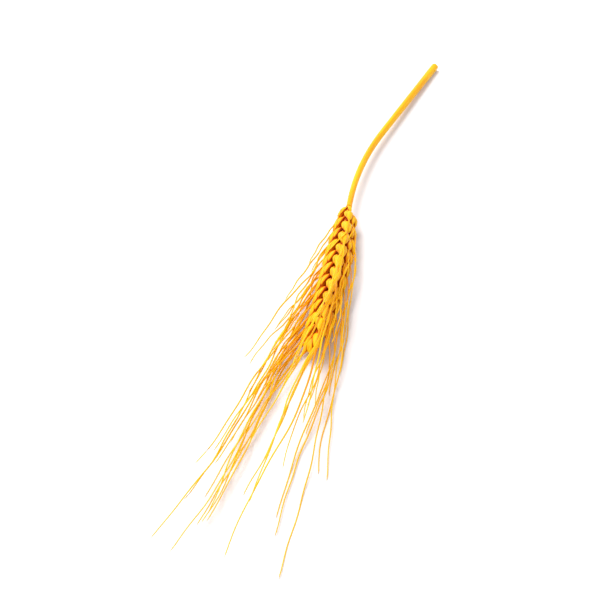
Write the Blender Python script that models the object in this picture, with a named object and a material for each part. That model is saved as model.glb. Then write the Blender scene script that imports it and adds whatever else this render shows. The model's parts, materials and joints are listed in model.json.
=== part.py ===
"""A bearded wheat ear on its cut stem, lying on a surface.

Blender 4.5, metres, +Z up. The ear points to -X and the stem's cut end to +X. Seen from
above, the stem is a straight run and an arc, and the ear is an arc that bends back. A
heading of 0 degrees points to -X, and a positive one turns towards +Y.

The ear is one body: a zigzag rachis with spikelets on alternate sides, whose husks and
awns are fused to it. It lies turned about its own length, so that one of its two ranks
of spikelets is raised, and its underside is flat where it touches the surface.
"""

import math
import random
from collections import namedtuple

import bmesh
import bpy
from mathutils import Matrix, Vector

MM = 0.001

# The stem: its straight run and the arc of its neck, and the height of its axis
STEM_STRAIGHT = 62 * MM
NECK_LENGTH = 56 * MM
STEM_LENGTH = STEM_STRAIGHT + NECK_LENGTH
STEM_END_RADIUS = 1.65 * MM
STEM_NECK_RADIUS = 1.2 * MM
STEM_END = Vector((148.5 * MM, -0.1 * MM, 1.65 * MM))
STEM_HEADING = math.radians(9)
STEM_STEPS = 14
STEM_SIDES = 12
STEM_GAP = 0.3 * MM

# The ear: its length without awns, its arc, and how it lies
EAR_LENGTH = 83 * MM
EAR_HEADING = math.radians(-10)
TIP_HEADING = math.radians(-3)
EAR_HEIGHT = 5.35 * MM
EAR_DROOP = 0.7 * MM
EAR_ROLL = math.radians(35)

# The rachis, a zigzag axis with one spikelet to a step. Behind the husks it is thick enough
# to close the ear, as the grain does
SPIKELETS = 21
FIRST_SPIKELET = 1.6 * MM
INTERNODE = 3.45 * MM
RACHIS_RADIUS = 1.2 * MM
RACHIS_CORE_RADIUS = 2.4 * MM
RACHIS_TIP_RADIUS = 1.1 * MM
RACHIS_ZIGZAG = 0.45 * MM
RACHIS_FLATTENING = 0.9
RACHIS_SIDES = 6
CORE_STARTS = 3

# How a spikelet stands off the rachis and how its husks spread
SPIKELET_TILT = math.radians(19)
SPIKELET_LIFT = 0.4 * MM
LOWEST_SIZE = 0.66
LOWEST_SHARE = 0.22
LOWEST_CURVE = 0.7
UPPER_SIZE = 0.86
UPPER_SHARE = 0.45
GLUME_SPREAD = math.radians(16)
GLUME_FACING = math.radians(58)
LEMMA_SPREAD = math.radians(11)
LEMMA_FACING = math.radians(34)
SPREAD_PLAY = math.radians(2.5)

# Husks: length, width, thickness outside and inside their middle line, and bow
Size = namedtuple("Size", "length width outer inner bow")
GLUME = Size(9.2 * MM, 3.6 * MM, 1.4 * MM, 0.9 * MM, 0.5 * MM)
LEMMA = Size(10.8 * MM, 4.2 * MM, 2.0 * MM, 1.4 * MM, 0.8 * MM)
MIDDLE_LEMMA = Size(9.0 * MM, 3.6 * MM, 1.8 * MM, 1.3 * MM, 0.7 * MM)
STERILE_HUSK = Size(4.6 * MM, 2.2 * MM, 0.7 * MM, 0.6 * MM, 0.2 * MM)
STERILE_PLACE = 0.5 * MM
GLUME_STEP = (0.7 * MM, -0.9 * MM)
LEMMA_STEP = (0.7 * MM, 0.2 * MM)
MIDDLE_STEP = 2.6 * MM
HUSK_SHOULDER = 1.12
HUSK_TAPER = 0.3
HUSK_SIDES = 5
HUSK_RINGS = {"lemma": 5, "middle": 4, "glume": 4}

# Awns: the long bristles that the lemmas end in. On the free side the lowest ones sag until
# they lie on the surface, so the ear rests on its husks, on them and on the stem's end
AWN_LENGTH = 97 * MM
AWN_LOWEST_SHARE = 0.34
AWN_GROWTH = 2.2
AWN_LENGTH_PLAY = 0.08
MIDDLE_AWN_SHARE = 0.6
MIDDLE_AWN_LENGTH = (0.43, 0.79)
MIDDLE_AWN_GIRTH = 0.85
AWN_ROOT = 0.8
AWN_ROOT_RADIUS = 0.45 * MM
AWN_TIP_RADIUS = 0.16 * MM
AWN_TAPER = 1.3
AWN_LEAVES = 0.25
AWN_STRAIGHTENS = 0.62
AWN_HEADING = math.radians(-1)
AWN_FAN = math.radians(10)
AWN_HEADING_PLAY = math.radians(4.5)
AWN_RISE = math.radians(10)
AWN_RISE_PLAY = math.radians(3)
AWN_SAG = math.radians(10)
AWN_WAVE = 0.7 * MM
AWN_WAVE_STARTS = 0.33
AWN_WAVE_TURNS = (1.0, 1.8)
AWN_ARCH = 0.4 * MM
AWN_REST = 0.1 * MM
AWN_STEP = 14 * MM
AWN_CROWDING = 1.3
AWN_FEWEST_STEPS = 4
AWN_SIDES = 3

FLOOR_BLOCK = (500 * MM, 300 * MM, 20 * MM)
SHARP_ANGLE = math.radians(40)
WELD_DISTANCE = 1e-7
SEED = 12

Husk = namedtuple("Husk", "kind frame size")
Awn = namedtuple("Awn", "points radius")
Frame = namedtuple("Frame", "point along outward across")


def remove_all_objects():
    for thing in list(bpy.data.objects):
        bpy.data.objects.remove(thing)


def new_collection(name):
    group = bpy.data.collections.new(name)
    bpy.context.scene.collection.children.link(group)
    return group


def new_object(name, mesh, group):
    thing = bpy.data.objects.new(name, mesh)
    group.objects.link(thing)
    return thing


def new_material(name, colour, roughness):
    material = bpy.data.materials.new(name)
    material.use_nodes = True
    shader = material.node_tree.nodes["Principled BSDF"]
    shader.inputs["Base Color"].default_value = (*colour, 1)
    shader.inputs["Roughness"].default_value = roughness
    shader.inputs["Metallic"].default_value = 0
    return material


def along_arc(start, heading, turn, length, distance):
    """The point at a distance along a level arc, and the heading there."""
    bend = turn / length
    there = heading + bend * distance
    step = Vector((math.sin(heading) - math.sin(there), math.cos(heading) - math.cos(there), 0))
    return start + step / bend, there


def level_direction(heading):
    return Vector((-math.cos(heading), math.sin(heading), 0))


def stem_point(distance):
    """A point of the stem's axis, counted from the cut end."""
    straight = min(distance, STEM_STRAIGHT)
    point = STEM_END + level_direction(STEM_HEADING) * straight
    if distance > STEM_STRAIGHT:
        turn = EAR_HEADING - STEM_HEADING
        bent = distance - STEM_STRAIGHT
        point, _ = along_arc(point, STEM_HEADING, turn, NECK_LENGTH, bent)
    point.z += (EAR_HEIGHT - STEM_END.z) * distance / STEM_LENGTH
    return point


def ear_frame(distance):
    """The ear's axis at a distance from its foot, with its outward side turned up."""
    foot = stem_point(STEM_LENGTH) + level_direction(EAR_HEADING) * STEM_GAP
    turn = TIP_HEADING - EAR_HEADING
    point, heading = along_arc(foot, EAR_HEADING, turn, EAR_LENGTH, distance)
    share = distance / EAR_LENGTH
    point.z -= EAR_DROOP * share**2
    slope = Vector((0, 0, -2 * EAR_DROOP * share / EAR_LENGTH))
    along = (level_direction(heading) + slope).normalized()
    level = Vector((0, 0, 1)).cross(along).normalized()
    outward = level * math.cos(EAR_ROLL) + along.cross(level) * math.sin(EAR_ROLL)
    return Frame(point, along, outward, along.cross(outward))


def husk_point(husk, share, angle):
    """A point of a husk's skin: share runs along it, angle round it from its left edge."""
    girth = 2 * math.sqrt(max(share * (1 - share), 0)) * (HUSK_SHOULDER - HUSK_TAPER * share)
    depth = husk.size.outer if math.sin(angle) > 0 else husk.size.inner
    across = husk.size.width / 2 * girth * math.cos(angle)
    outward = depth * girth * math.sin(angle)
    return husk_middle(husk, share, across, outward)


def husk_middle(husk, share, across=0.0, outward=0.0):
    """A point beside the middle line of a husk, which bows outward."""
    bow = husk.size.bow * 4 * share * (1 - share)
    return husk.frame @ Vector((across, outward + bow, husk.size.length * share))


def husk_frame(root, along, facing):
    outward = (facing - along * facing.dot(along)).normalized()
    axes = Matrix((outward.cross(along), outward, along)).transposed()
    return Matrix.Translation(root) @ axes.to_4x4()


def scaled(size, factor):
    return Size(*(value * factor for value in size))


def fan_husk(frame, kind, size, steps, tilt, spread, facing):
    """A husk of a spikelet, which leans out by tilt and sideways by spread."""
    lean = frame.along * math.cos(tilt) + frame.outward * math.sin(tilt)
    along = (lean * math.cos(spread) + frame.across * math.sin(spread)).normalized()
    faces = frame.outward * math.cos(facing) + frame.across * math.sin(facing)
    root = frame.point + frame.across * steps[0] + lean * steps[1]
    return Husk(kind, husk_frame(root, along, faces), size)


def awn_route(husk, length, centre, draw):
    """The points of an awn, from inside its husk's tip out along the sheaf of awns."""
    root = husk_middle(husk, AWN_ROOT)
    level = Vector((0, 0, 1)).cross(centre.along).normalized()
    side = (root - centre.point).dot(level) / EAR_HEIGHT
    height = (root.z - centre.point.z) / EAR_HEIGHT
    leaves = husk.frame.to_3x3() @ Vector((0, 0, 1))
    if height < 0:
        side = math.copysign(math.hypot(side, height), side)
        leaves += level * math.copysign(max(-leaves.z, 0), side)
        leaves.z = max(leaves.z, 0)
        height = 0
    heading = AWN_HEADING - AWN_FAN * side + AWN_HEADING_PLAY * draw.uniform(-1, 1)
    rise = AWN_RISE * height + AWN_RISE_PLAY * draw.uniform(0, 1)
    rise -= AWN_SAG * max(side, 0) * max(1 - height, 0)
    ends = level_direction(heading) * math.cos(rise) + Vector((0, 0, math.sin(rise)))
    handles = [root, root + leaves * length * AWN_LEAVES]
    handles += [root + ends * length * AWN_STRAIGHTENS, root + ends * length]
    for handle in handles[1:]:
        handle.z = max(handle.z, AWN_REST - AWN_ARCH)
    waves = [(draw.uniform(*AWN_WAVE_TURNS), draw.uniform(0, math.tau)) for _ in range(2)]
    steps = max(round(length / AWN_STEP), AWN_FEWEST_STEPS)
    return [awn_point(handles, waves, share) for share in awn_shares(steps)]


def awn_shares(steps):
    """How far along an awn its points lie, closest together at its root."""
    return [(step / steps) ** AWN_CROWDING for step in range(steps + 1)]


def awn_point(handles, waves, share):
    """A point of the curve that the four handles give, with a slight wave across it."""
    rest = 1 - share
    weights = (rest**3, 3 * rest**2 * share, 3 * rest * share**2, share**3)
    point = sum((handle * weight for handle, weight in zip(handles, weights)), Vector())
    swell = min(share / AWN_WAVE_STARTS, 1)
    sway, lift = (math.sin(math.tau * turns * share + phase) for turns, phase in waves)
    point += Vector((0, AWN_WAVE * sway, AWN_WAVE * lift + AWN_ARCH)) * swell
    point.z = max(point.z, AWN_REST)
    return point


def spikelet_size(share):
    """Spikelets are small at the ear's foot, full below its middle, smaller at its tip."""
    foot = LOWEST_SIZE + (1 - LOWEST_SIZE) * min(share / LOWEST_SHARE, 1) ** LOWEST_CURVE
    tip = 1 - (1 - UPPER_SIZE) * max(1 - (1 - share) / UPPER_SHARE, 0)
    return foot * tip


def awn_length(share):
    """Awns are short at the ear's foot and longest at its tip."""
    return AWN_LENGTH * (1 - (1 - AWN_LOWEST_SHARE) * (1 - share) ** AWN_GROWTH)


def plan_spikelet(frame, share, tilt, draw):
    """The husks and awns of one spikelet."""
    factor = spikelet_size(share)
    husks, awns = [], []
    centre = Frame(frame.point - frame.outward * SPIKELET_LIFT, *frame[1:])
    for side in (-1, 1):
        play = SPREAD_PLAY * draw.uniform(-1, 1)
        steps = (side * GLUME_STEP[0] * factor, GLUME_STEP[1] * factor)
        glume = fan_husk(
            frame, "glume", scaled(GLUME, factor), steps, tilt,
            side * (GLUME_SPREAD + play), side * GLUME_FACING,
        )
        steps = (side * LEMMA_STEP[0] * factor, LEMMA_STEP[1] * factor)
        lemma = fan_husk(
            frame, "lemma", scaled(LEMMA, factor), steps, tilt,
            side * (LEMMA_SPREAD + play), side * LEMMA_FACING,
        )
        length = awn_length(share) * (1 + AWN_LENGTH_PLAY * draw.uniform(-1, 1))
        awns.append(Awn(awn_route(lemma, length, centre, draw), AWN_ROOT_RADIUS))
        husks += [glume, lemma]
    spread = SPREAD_PLAY * draw.uniform(-1, 1)
    steps = (0, MIDDLE_STEP * factor)
    middle = fan_husk(frame, "middle", scaled(MIDDLE_LEMMA, factor), steps, tilt, spread, 0)
    husks.append(middle)
    if draw.random() < MIDDLE_AWN_SHARE:
        length = awn_length(share) * draw.uniform(*MIDDLE_AWN_LENGTH)
        girth = AWN_ROOT_RADIUS * MIDDLE_AWN_GIRTH
        awns.append(Awn(awn_route(middle, length, centre, draw), girth))
    return husks, awns


def plan_ear():
    """Every husk and awn of the ear, from its foot to the spikelet at its tip."""
    draw = random.Random(SEED)
    husks, awns = [], []
    for number in range(SPIKELETS + 1):
        frame = ear_frame(FIRST_SPIKELET + number * INTERNODE)
        rank = 1 if number % 2 else -1
        last = number == SPIKELETS
        if last:
            frame = Frame(frame.point, frame.along, frame.across, frame.outward)
            tilt = 0
        else:
            lift = frame.outward * rank * SPIKELET_LIFT
            frame = Frame(frame.point + lift, frame.along, frame.outward * rank, frame.across)
            tilt = SPIKELET_TILT
        more = plan_spikelet(frame, number / SPIKELETS, tilt, draw)
        husks += more[0]
        awns += more[1]
    return husks, awns


def plan_sterile_husks():
    """The two small husks at the ear's foot, which hold no grain."""
    frame = ear_frame(STERILE_PLACE)
    return [
        fan_husk(
            Frame(frame.point, frame.along, frame.outward * side, frame.across),
            "glume", STERILE_HUSK, (side * STERILE_PLACE, 0), SPIKELET_TILT, 0, 0,
        )
        for side in (-1, 1)
    ]


def make_husk(name, husk, group):
    """A pointed, keeled boat shaped from a sphere of a few rings."""
    shape = bmesh.new()
    rings = HUSK_RINGS[husk.kind]
    bmesh.ops.create_uvsphere(shape, u_segments=HUSK_SIDES, v_segments=rings, radius=1)
    keel = math.pi / 2 % (math.tau / HUSK_SIDES)
    for vertex in shape.verts:
        angle = math.atan2(vertex.co.y, vertex.co.x) + keel
        vertex.co = husk_point(husk, (1 + vertex.co.z) / 2, angle)
    bmesh.ops.recalc_face_normals(shape, faces=shape.faces)
    mesh = bpy.data.meshes.new(name)
    shape.to_mesh(mesh)
    shape.free()
    return new_object(name, mesh, group)


def make_outline(name, sides, flattening, group):
    """The closed outline, one unit in radius, that a tube's section follows."""
    curve = bpy.data.curves.new(name, "CURVE")
    curve.dimensions = "3D"
    spline = curve.splines.new("POLY")
    spline.points.add(sides - 1)
    for number, point in enumerate(spline.points):
        angle = math.tau * number / sides
        point.co = (math.cos(angle), math.sin(angle) * flattening, 0, 1)
    spline.use_cyclic_u = True
    return new_object(name, curve, group)


def make_tube(name, points, radii, outline, group):
    """A closed tube through the points, as a mesh with its caps welded on."""
    curve = bpy.data.curves.new(name, "CURVE")
    curve.dimensions = "3D"
    curve.bevel_mode = "OBJECT"
    curve.bevel_object = outline
    curve.use_fill_caps = True
    spline = curve.splines.new("POLY")
    spline.points.add(len(points) - 1)
    for place, point, radius in zip(spline.points, points, radii):
        place.co = (*point, 1)
        place.radius = radius
    guide = new_object(name + "_guide", curve, group)
    bpy.context.view_layer.update()
    depsgraph = bpy.context.evaluated_depsgraph_get()
    mesh = bpy.data.meshes.new_from_object(guide.evaluated_get(depsgraph))
    bpy.data.objects.remove(guide)
    shape = bmesh.new()
    shape.from_mesh(mesh)
    bmesh.ops.remove_doubles(shape, verts=shape.verts, dist=WELD_DISTANCE)
    bmesh.ops.recalc_face_normals(shape, faces=shape.faces)
    shape.to_mesh(mesh)
    shape.free()
    return new_object(name, mesh, group)


def make_awn(name, awn, outline, group):
    """A bristle that tapers from its root to its tip."""
    radii = [
        AWN_TIP_RADIUS + (awn.radius - AWN_TIP_RADIUS) * (1 - share) ** AWN_TAPER
        for share in awn_shares(len(awn.points) - 1)
    ]
    return make_tube(name, awn.points, radii, outline, group)


def make_rachis(name, outline, group):
    """The ear's own axis, which steps from side to side below each spikelet."""
    points = [ear_frame(0).point]
    radii = [RACHIS_RADIUS]
    for number in range(SPIKELETS + 1):
        frame = ear_frame(FIRST_SPIKELET + number * INTERNODE)
        rank = 1 if number % 2 else -1
        share = number / SPIKELETS
        points.append(frame.point + frame.outward * rank * RACHIS_ZIGZAG)
        core = RACHIS_CORE_RADIUS + (RACHIS_TIP_RADIUS - RACHIS_CORE_RADIUS) * share
        radii.append(RACHIS_RADIUS + (core - RACHIS_RADIUS) * min(number / CORE_STARTS, 1))
    return make_tube(name, points, radii, outline, group)


def make_floor_block(group):
    """The block that flattens what would reach below the surface."""
    bpy.ops.mesh.primitive_cube_add(size=1, location=(0, 0, -FLOOR_BLOCK[2] / 2))
    block = bpy.context.object
    block.name = "floor_block"
    block.scale = FLOOR_BLOCK
    for home in list(block.users_collection):
        home.objects.unlink(block)
    group.objects.link(block)
    block.hide_render = True
    block.display_type = "WIRE"
    return block


def keep_outer_body(mesh):
    """Fills the small hollows that fusing seals, by removing their inner skins."""
    shape = bmesh.new()
    shape.from_mesh(mesh)
    left, outer = set(shape.verts), set()
    while left:
        body, edge = set(), {next(iter(left))}
        while edge:
            body |= edge
            edge = {e.other_vert(v) for v in edge for e in v.link_edges} - body
        left -= body
        outer = max(outer, body, key=len)
    inner = [vertex for vertex in shape.verts if vertex not in outer]
    bmesh.ops.delete(shape, geom=inner, context="VERTS")
    shape.to_mesh(mesh)
    shape.free()


def fuse_ear(core, pieces, block, group, material):
    """One body from the rachis, the husks and the awns, flat where it rests."""
    union = core.modifiers.new("join", "BOOLEAN")
    union.operation = "UNION"
    union.operand_type = "COLLECTION"
    union.collection = pieces
    cut = core.modifiers.new("rest", "BOOLEAN")
    cut.operation = "DIFFERENCE"
    cut.object = block
    bpy.context.view_layer.update()
    depsgraph = bpy.context.evaluated_depsgraph_get()
    mesh = bpy.data.meshes.new_from_object(core.evaluated_get(depsgraph))
    for thing in [core, block, *pieces.objects]:
        bpy.data.objects.remove(thing)
    keep_outer_body(mesh)
    mesh.name = "ear"
    mesh.materials.clear()
    mesh.materials.append(material)
    return new_object("ear", mesh, group)


def make_ear(group, guides, material):
    pieces = new_collection("ear_pieces")
    bristle = make_outline("bristle_outline", AWN_SIDES, 1, guides)
    axis = make_outline("rachis_outline", RACHIS_SIDES, RACHIS_FLATTENING, guides)
    core = make_rachis("rachis", axis, guides)
    husks, awns = plan_ear()
    for number, husk in enumerate(husks + plan_sterile_husks()):
        make_husk(f"husk_{number}", husk, pieces)
    for number, awn in enumerate(awns):
        make_awn(f"awn_{number}", awn, bristle, pieces)
    ear = fuse_ear(core, pieces, make_floor_block(guides), group, material)
    bpy.data.objects.remove(bristle)
    bpy.data.objects.remove(axis)
    return ear


def make_stem(group, guides, material):
    """The straw, thickest at its cut end."""
    outline = make_outline("stem_outline", STEM_SIDES, 1, guides)
    shares = [number / STEM_STEPS for number in range(STEM_STEPS + 1)]
    points = [stem_point(STEM_LENGTH * share) for share in shares]
    radii = [STEM_END_RADIUS + (STEM_NECK_RADIUS - STEM_END_RADIUS) * share for share in shares]
    stem = make_tube("stem", points, radii, outline, group)
    stem.data.materials.append(material)
    stem.data.shade_smooth()
    stem.data.set_sharp_from_angle(angle=SHARP_ANGLE)
    bpy.data.objects.remove(outline)
    return stem


def main():
    remove_all_objects()
    group = new_collection("wheat_ear")
    guides = new_collection("guides")
    husk_finish = new_material("ear_husk", (0.93, 0.42, 0.01), 0.5)
    straw_finish = new_material("stem_straw", (0.98, 0.55, 0.02), 0.4)
    make_stem(group, guides, straw_finish)
    make_ear(group, guides, husk_finish)


main()
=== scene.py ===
# %% [markdown]
# # Dressing a bearded wheat ear
#
# The packed model holds two plain solids, an ear and its cut stem. This lesson gives them the
# look of the real thing: a dried ear, dyed a strong golden yellow. Each husk, awn and straw
# is made again as a finer mesh in the same place, and gets a material of its own.

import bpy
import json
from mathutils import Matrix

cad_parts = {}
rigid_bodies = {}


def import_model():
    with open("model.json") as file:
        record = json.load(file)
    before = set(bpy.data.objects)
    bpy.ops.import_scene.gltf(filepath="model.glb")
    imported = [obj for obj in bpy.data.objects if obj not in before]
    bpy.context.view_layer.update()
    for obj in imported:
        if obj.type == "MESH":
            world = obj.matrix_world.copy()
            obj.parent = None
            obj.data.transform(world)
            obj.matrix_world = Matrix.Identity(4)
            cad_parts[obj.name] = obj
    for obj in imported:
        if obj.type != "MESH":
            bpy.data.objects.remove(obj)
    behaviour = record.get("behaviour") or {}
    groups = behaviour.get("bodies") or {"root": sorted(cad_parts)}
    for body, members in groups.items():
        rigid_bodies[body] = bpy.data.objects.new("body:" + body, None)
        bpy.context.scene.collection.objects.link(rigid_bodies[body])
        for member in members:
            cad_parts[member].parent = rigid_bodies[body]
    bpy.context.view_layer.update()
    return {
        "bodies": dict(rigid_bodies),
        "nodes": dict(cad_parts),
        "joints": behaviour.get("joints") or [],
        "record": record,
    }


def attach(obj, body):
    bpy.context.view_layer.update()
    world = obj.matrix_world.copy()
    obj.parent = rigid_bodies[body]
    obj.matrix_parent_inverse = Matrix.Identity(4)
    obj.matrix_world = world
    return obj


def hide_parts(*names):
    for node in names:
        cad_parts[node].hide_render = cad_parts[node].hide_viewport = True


MM = 0.001

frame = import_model()

# %% [markdown]
# ## Camera
#
# The real ear is seen from about 45 degrees above, with its stem running off to the upper
# right and its awns coming towards us at the lower left. A long lens from half a metre keeps
# the near awns from growing too large. It comes first, because it tells which sides of the
# ear need the most care.

# %% Set the camera at the photograph's angle
from math import ceil, copysign, cos, exp, hypot, pi, radians, sin, sqrt, tau

import bpy
from mathutils import Matrix, Vector, noise

CAMERA_AIM = Vector((-26 * MM, 12 * MM, 4 * MM))
CAMERA_AZIMUTH = radians(-72)
CAMERA_ELEVATION = radians(45)
CAMERA_DISTANCE = 450 * MM
CAMERA_LENS = 70

scene = bpy.context.scene


def direction_from(azimuth, elevation):
    """The direction from the object towards something at that azimuth and elevation."""
    level = Vector((sin(azimuth), -cos(azimuth), 0))
    return level * cos(elevation) + Vector((0, 0, sin(elevation)))


def turn_towards(thing, target):
    thing.rotation_euler = (target - thing.location).to_track_quat("-Z", "Y").to_euler()


def place_in_scene(name, data):
    thing = bpy.data.objects.new(name, data)
    scene.collection.objects.link(thing)
    return thing


camera_data = bpy.data.cameras.new("camera")
camera_data.lens = CAMERA_LENS
camera = place_in_scene("camera", camera_data)
camera.location = CAMERA_AIM + direction_from(CAMERA_AZIMUTH, CAMERA_ELEVATION) * CAMERA_DISTANCE
turn_towards(camera, CAMERA_AIM)
scene.camera = camera
scene.view_settings.view_transform = "Standard"
print("camera at", [round(value, 3) for value in camera.location])

# %% [markdown]
# ## Where the stem and the ear's axis run
#
# On the real stalk, the straw bends one way below the ear and the ear bends back. The solids
# draw this as a straight run and two arcs, so the same numbers give the same line here. A
# heading of 0 degrees points to -X, and a positive one turns towards +Y.

# %% Follow the stem and the ear's axis
from collections import namedtuple

STEM_STRAIGHT = 62 * MM
NECK_LENGTH = 56 * MM
STEM_LENGTH = STEM_STRAIGHT + NECK_LENGTH
STEM_END_RADIUS = 1.65 * MM
STEM_NECK_RADIUS = 1.2 * MM
STEM_END = Vector((148.5 * MM, -0.1 * MM, 1.65 * MM))
STEM_HEADING = radians(9)
STEM_GAP = 0.3 * MM
EAR_LENGTH = 83 * MM
EAR_HEADING = radians(-10)
TIP_HEADING = radians(-3)
EAR_HEIGHT = 5.35 * MM
EAR_DROOP = 0.7 * MM
EAR_ROLL = radians(35)

Frame = namedtuple("Frame", "point along outward across")


def along_arc(start, heading, turn, length, distance):
    """The point at a distance along a level arc, and the heading there."""
    bend = turn / length
    there = heading + bend * distance
    step = Vector((sin(heading) - sin(there), cos(heading) - cos(there), 0))
    return start + step / bend, there


def level_direction(heading):
    return Vector((-cos(heading), sin(heading), 0))


def stem_point(distance):
    """A point of the stem's axis, counted from the cut end."""
    straight = min(distance, STEM_STRAIGHT)
    point = STEM_END + level_direction(STEM_HEADING) * straight
    if distance > STEM_STRAIGHT:
        turn = EAR_HEADING - STEM_HEADING
        bent = distance - STEM_STRAIGHT
        point, _ = along_arc(point, STEM_HEADING, turn, NECK_LENGTH, bent)
    point.z += (EAR_HEIGHT - STEM_END.z) * distance / STEM_LENGTH
    return point


def ear_frame(distance):
    """The ear's axis at a distance from its foot, with its outward side turned up."""
    foot = stem_point(STEM_LENGTH) + level_direction(EAR_HEADING) * STEM_GAP
    turn = TIP_HEADING - EAR_HEADING
    point, heading = along_arc(foot, EAR_HEADING, turn, EAR_LENGTH, distance)
    share = distance / EAR_LENGTH
    point.z -= EAR_DROOP * share**2
    slope = Vector((0, 0, -2 * EAR_DROOP * share / EAR_LENGTH))
    along = (level_direction(heading) + slope).normalized()
    level = Vector((0, 0, 1)).cross(along).normalized()
    outward = level * cos(EAR_ROLL) + along.cross(level) * sin(EAR_ROLL)
    return Frame(point, along, outward, along.cross(outward))


ear_foot, ear_tip = ear_frame(0).point, ear_frame(EAR_LENGTH).point
print(f"ear foot at x {ear_foot.x / MM:.1f} mm, ear tip at x {ear_tip.x / MM:.1f} mm")

# %% [markdown]
# ## Where each husk sits
#
# A wheat ear is a zigzag axis with one spikelet to a step, left and right in turn. Each
# spikelet is a small fan: two outer husks (glumes), two large floret husks (lemmas) and one
# smaller floret between them. The fan's angles and sizes are those of the solids, and so are
# the random generator's seed and order, so each finer husk lands on its solid.

# %% Place a husk in a spikelet's fan
SPIKELETS = 21
FIRST_SPIKELET = 1.6 * MM
INTERNODE = 3.45 * MM
SPIKELET_TILT = radians(19)
SPIKELET_LIFT = 0.4 * MM
LOWEST_SIZE = 0.66
LOWEST_SHARE = 0.22
LOWEST_CURVE = 0.7
UPPER_SIZE = 0.86
UPPER_SHARE = 0.45

Size = namedtuple("Size", "length width outer inner bow")
Seat = namedtuple("Seat", "kind size aside up spread facing")
Husk = namedtuple("Husk", "kind frame size")


def seat_husk(frame, seat, side, tilt, factor=1, play=0):
    """A husk on one side of a spikelet, from a seat in millimetres and degrees."""
    lean = frame.along * cos(tilt) + frame.outward * sin(tilt)
    spread, facing = side * (radians(seat.spread) + play), side * radians(seat.facing)
    factor *= MM
    along = (lean * cos(spread) + frame.across * sin(spread)).normalized()
    faces = frame.outward * cos(facing) + frame.across * sin(facing)
    root = frame.point + frame.across * (side * seat.aside * factor) + lean * (seat.up * factor)
    outward = (faces - along * faces.dot(along)).normalized()
    axes = Matrix((outward.cross(along), outward, along)).transposed()
    size = Size(*(value * factor for value in seat.size))
    return Husk(seat.kind, Matrix.Translation(root) @ axes.to_4x4(), size)


def spikelet_size(share):
    """Spikelets are small at the ear's foot, full below its middle, smaller at its tip."""
    foot = LOWEST_SIZE + (1 - LOWEST_SIZE) * min(share / LOWEST_SHARE, 1) ** LOWEST_CURVE
    tip = 1 - (1 - UPPER_SIZE) * max(1 - (1 - share) / UPPER_SHARE, 0)
    return foot * tip


print("sizes at foot, quarter, tip", [round(spikelet_size(s), 2) for s in (0, 0.25, 1)])

# %% [markdown]
# ## Where each awn runs
#
# An awn is the long bristle that a floret husk ends in. It leaves along its husk, then
# bends over into the sheaf of awns. The solids draw it with a few straight steps. Here its
# four handles and its two waves are kept instead, so that it can be drawn as a smooth curve.
# A finer crinkle is added, since a dry awn is never quite straight.

# %% Route an awn out of its husk
AWN_ROOT = 0.8
AWN_LEAVES = 0.25
AWN_STRAIGHTENS = 0.62
AWN_HEADING = radians(-1)
AWN_FAN = radians(10)
AWN_HEADING_PLAY = radians(4.5)
AWN_RISE = radians(10)
AWN_RISE_PLAY = radians(3)
AWN_SAG = radians(10)
AWN_WAVE = 0.7 * MM
AWN_WAVE_STARTS = 0.33
AWN_WAVE_TURNS = (1.0, 1.8)
AWN_CRINKLE = 0.17 * MM
AWN_CRINKLE_TURNS = 3.3
AWN_ARCH = 0.4 * MM
AWN_REST = 0.1 * MM

Awn = namedtuple("Awn", "husk handles waves length girth")


def awn_route(husk, length, girth, centre, draw):
    """The handles and waves of an awn that starts inside its husk's tip."""
    bow = husk.size.bow * 4 * AWN_ROOT * (1 - AWN_ROOT)
    root = husk.frame @ Vector((0, bow, husk.size.length * AWN_ROOT))
    level = Vector((0, 0, 1)).cross(centre.along).normalized()
    side = (root - centre.point).dot(level) / EAR_HEIGHT
    height = (root.z - centre.point.z) / EAR_HEIGHT
    leaves = husk.frame.to_3x3() @ Vector((0, 0, 1))
    if height < 0:
        side = copysign(hypot(side, height), side)
        leaves += level * copysign(max(-leaves.z, 0), side)
        leaves.z = max(leaves.z, 0)
        height = 0
    heading = AWN_HEADING - AWN_FAN * side + AWN_HEADING_PLAY * draw.uniform(-1, 1)
    rise = AWN_RISE * height + AWN_RISE_PLAY * draw.uniform(0, 1)
    rise -= AWN_SAG * max(side, 0) * max(1 - height, 0)
    ends = level_direction(heading) * cos(rise) + Vector((0, 0, sin(rise)))
    handles = [root, root + leaves * length * AWN_LEAVES]
    handles += [root + ends * length * AWN_STRAIGHTENS, root + ends * length]
    for handle in handles[1:]:
        handle.z = max(handle.z, AWN_REST - AWN_ARCH)
    waves = [(draw.uniform(*AWN_WAVE_TURNS), draw.uniform(0, tau)) for _ in range(2)]
    return Awn(husk, handles, waves, length, girth)


def awn_point(awn, share):
    """A point of the curve that the four handles give, with a slight wave across it."""
    rest = 1 - share
    weights = (rest**3, 3 * rest**2 * share, 3 * rest * share**2, share**3)
    point = sum((handle * weight for handle, weight in zip(awn.handles, weights)), Vector())
    swell = min(share / AWN_WAVE_STARTS, 1)
    sway, lift = (sin(tau * turns * share + phase) for turns, phase in awn.waves)
    turns, phase = awn.waves[1]
    crinkle = sin(tau * AWN_CRINKLE_TURNS * turns * share + phase)
    aside = AWN_WAVE * sway + AWN_CRINKLE * crinkle
    point += Vector((0, aside, AWN_WAVE * lift + AWN_ARCH)) * swell
    point.z = max(point.z, AWN_REST)
    return point


print("an awn is planned by its", ", ".join(Awn._fields))

# %% Plan the whole ear, from its foot to the spikelet at its tip
import random

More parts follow.
